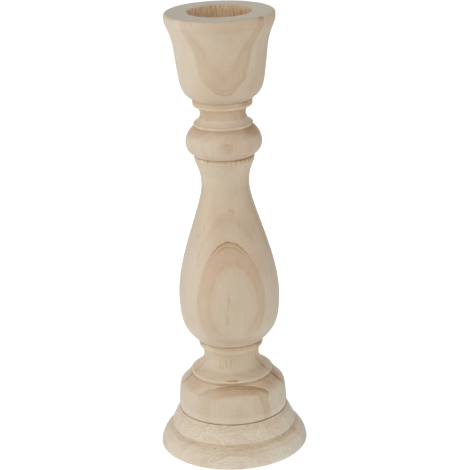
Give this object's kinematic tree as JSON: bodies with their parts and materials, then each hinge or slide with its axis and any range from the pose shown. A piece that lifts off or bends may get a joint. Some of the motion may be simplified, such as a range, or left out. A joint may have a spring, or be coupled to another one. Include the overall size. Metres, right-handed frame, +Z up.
{
  "type": "candle holder",
  "caption": "Turned wooden candlestick with a flared cup, baluster stem and stepped round base; the cup's bore holds a tea light or pillar candle upright.",
  "frame": {"origin": "centre of the base's underside, on the surface that the holder stands on", "axes": "+Z up along the turning axis; -Y faces the side that the picture shows; the outside is a body of revolution, so X and Y differ only in the wood's figure"},
  "size_m": [0.097, 0.097, 0.29],
  "materials": {
    "stem_wood": "raw, sanded, unfinished pale wood with faint growth rings",
    "base_wood": "raw, sanded, unfinished pale wood cut from a plank",
    "screw_steel": "bright zinc-plated steel"
  },
  "bodies": {
    "root": {"turned_stem": "stem_wood", "turned_base": "base_wood", "base_screw": "screw_steel"}
  },
  "joints": []
}
